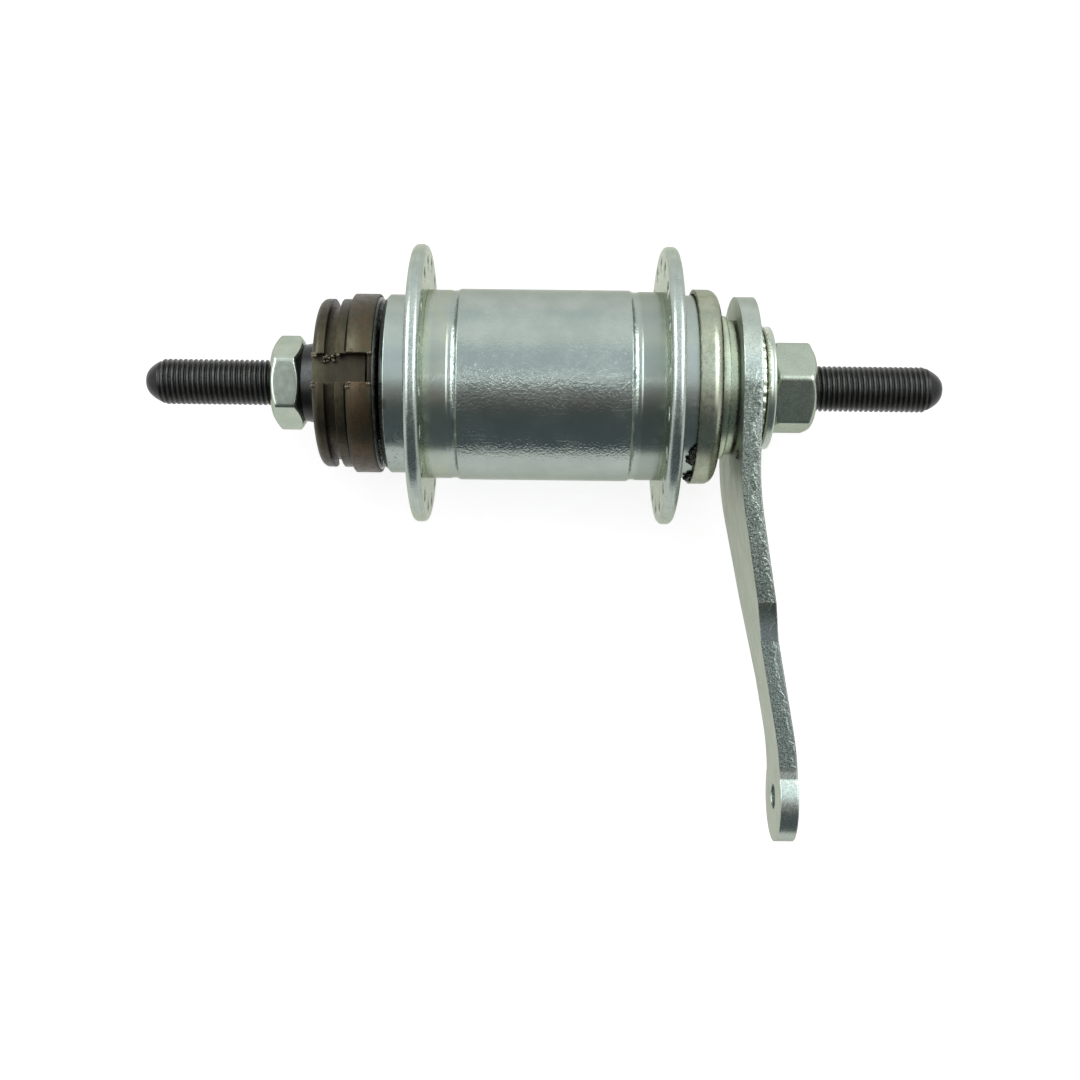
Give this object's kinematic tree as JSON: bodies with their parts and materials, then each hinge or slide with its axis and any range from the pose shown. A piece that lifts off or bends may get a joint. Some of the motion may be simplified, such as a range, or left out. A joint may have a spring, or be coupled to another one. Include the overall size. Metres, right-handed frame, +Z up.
{
  "type": "coaster brake hub",
  "caption": "Bicycle rear hub with a back-pedal brake: threaded axle, sprocket driver, plated barrel with spoke flanges, inner clutch and brake shoes, and a reaction arm with a clip hole.",
  "frame": {"origin": "on the axle, midway between the two spoke flanges, which is the centre of the wheel", "axes": "+Y along the axle from the drive side towards the brake arm's side, +X along the brake arm as it reaches from the axle, +Z up"},
  "size_m": [0.1224, 0.165, 0.057],
  "materials": {
    "black_steel": "satin black oxide",
    "black_cap": "satin black",
    "zinc_plate": "bright zinc plate",
    "zinc_flange": "satin zinc plate",
    "zinc_cap": "yellowish zinc plate",
    "zinc_arm": "satin zinc plate over a sheared edge",
    "oiled_steel": "hardened brown steel with an oil film",
    "ball_steel": "polished",
    "cage_steel": "pressed sheet",
    "hard_steel": "ground and greased",
    "shoe_bronze": "turned and greased"
  },
  "bodies": {
    "axle_set": {"axle": "black_steel", "drive_locknut": "zinc_plate", "adjusting_cone": "black_steel", "brake_cone": "hard_steel", "brake_dust_cap": "zinc_cap", "brake_arm": "zinc_arm", "arm_lock_washer": "zinc_plate", "arm_washer": "zinc_plate", "arm_nut": "zinc_plate"},
    "shell": {"hub_barrel": "zinc_plate", "drive_flange": "zinc_flange", "brake_flange": "zinc_flange", "drive_bearing_cup": "hard_steel", "brake_bearing_cup": "hard_steel"},
    "driver_set": {"driver": "oiled_steel", "driver_dust_cap": "black_cap", "cone_dust_cap": "black_cap"},
    "cone_balls": {"cone_bearing_balls": "ball_steel", "cone_bearing_cage": "cage_steel"},
    "driver_balls": {"driver_bearing_balls": "ball_steel", "driver_bearing_cage": "cage_steel"},
    "brake_balls": {"brake_bearing_balls": "ball_steel", "brake_bearing_cage": "cage_steel"},
    "retarder": {"retarder_spring": "hard_steel"},
    "clutch": {"clutch_cone": "hard_steel"},
    "upper_shoe": {"brake_shoe_upper": "shoe_bronze"},
    "lower_shoe": {"brake_shoe_lower": "shoe_bronze"}
  },
  "joints": [
    {"name": "shell_spin", "type": "hinge", "parent": "axle_set", "child": "shell", "pos_m": [0, 0, 0], "axis": [0, 1, 0], "continuous": true},
    {"name": "driver_spin", "type": "hinge", "parent": "axle_set", "child": "driver_set", "pos_m": [0, 0, 0], "axis": [0, 1, 0], "continuous": true},
    {"name": "cone_cage_spin", "type": "hinge", "parent": "axle_set", "child": "cone_balls", "pos_m": [0, 0, 0], "axis": [0, 1, 0], "continuous": true},
    {"name": "driver_cage_spin", "type": "hinge", "parent": "axle_set", "child": "driver_balls", "pos_m": [0, 0, 0], "axis": [0, 1, 0], "continuous": true},
    {"name": "brake_cage_spin", "type": "hinge", "parent": "axle_set", "child": "brake_balls", "pos_m": [0, 0, 0], "axis": [0, 1, 0], "continuous": true},
    {"name": "clutch_travel", "type": "slide", "parent": "axle_set", "child": "retarder", "axis": [0, 1, 0], "range_m": [0, 0.0024]},
    {"name": "clutch_spin", "type": "hinge", "parent": "retarder", "child": "clutch", "pos_m": [0, 0, 0], "axis": [0, 1, 0], "continuous": true},
    {"name": "upper_shoe_slide", "type": "slide", "parent": "axle_set", "child": "upper_shoe", "axis": [0, 0.9806, 0.1961], "range_m": [0, 0.00122]},
    {"name": "lower_shoe_slide", "type": "slide", "parent": "axle_set", "child": "lower_shoe", "axis": [0, 0.9806, -0.1961], "range_m": [0, 0.00122]}
  ],
  "couplings": [
    {"joint": "cone_cage_spin", "follows": "driver_spin", "ratio": 0.5905},
    {"joint": "driver_cage_spin", "follows": "shell_spin", "ratio": 0.5658},
    {"joint": "brake_cage_spin", "follows": "shell_spin", "ratio": 0.5636},
    {"joint": "clutch_spin", "follows": "driver_spin", "ratio": 1},
    {"joint": "upper_shoe_slide", "follows": "clutch_travel", "ratio": 0.5099},
    {"joint": "lower_shoe_slide", "follows": "clutch_travel", "ratio": 0.5099}
  ]
}
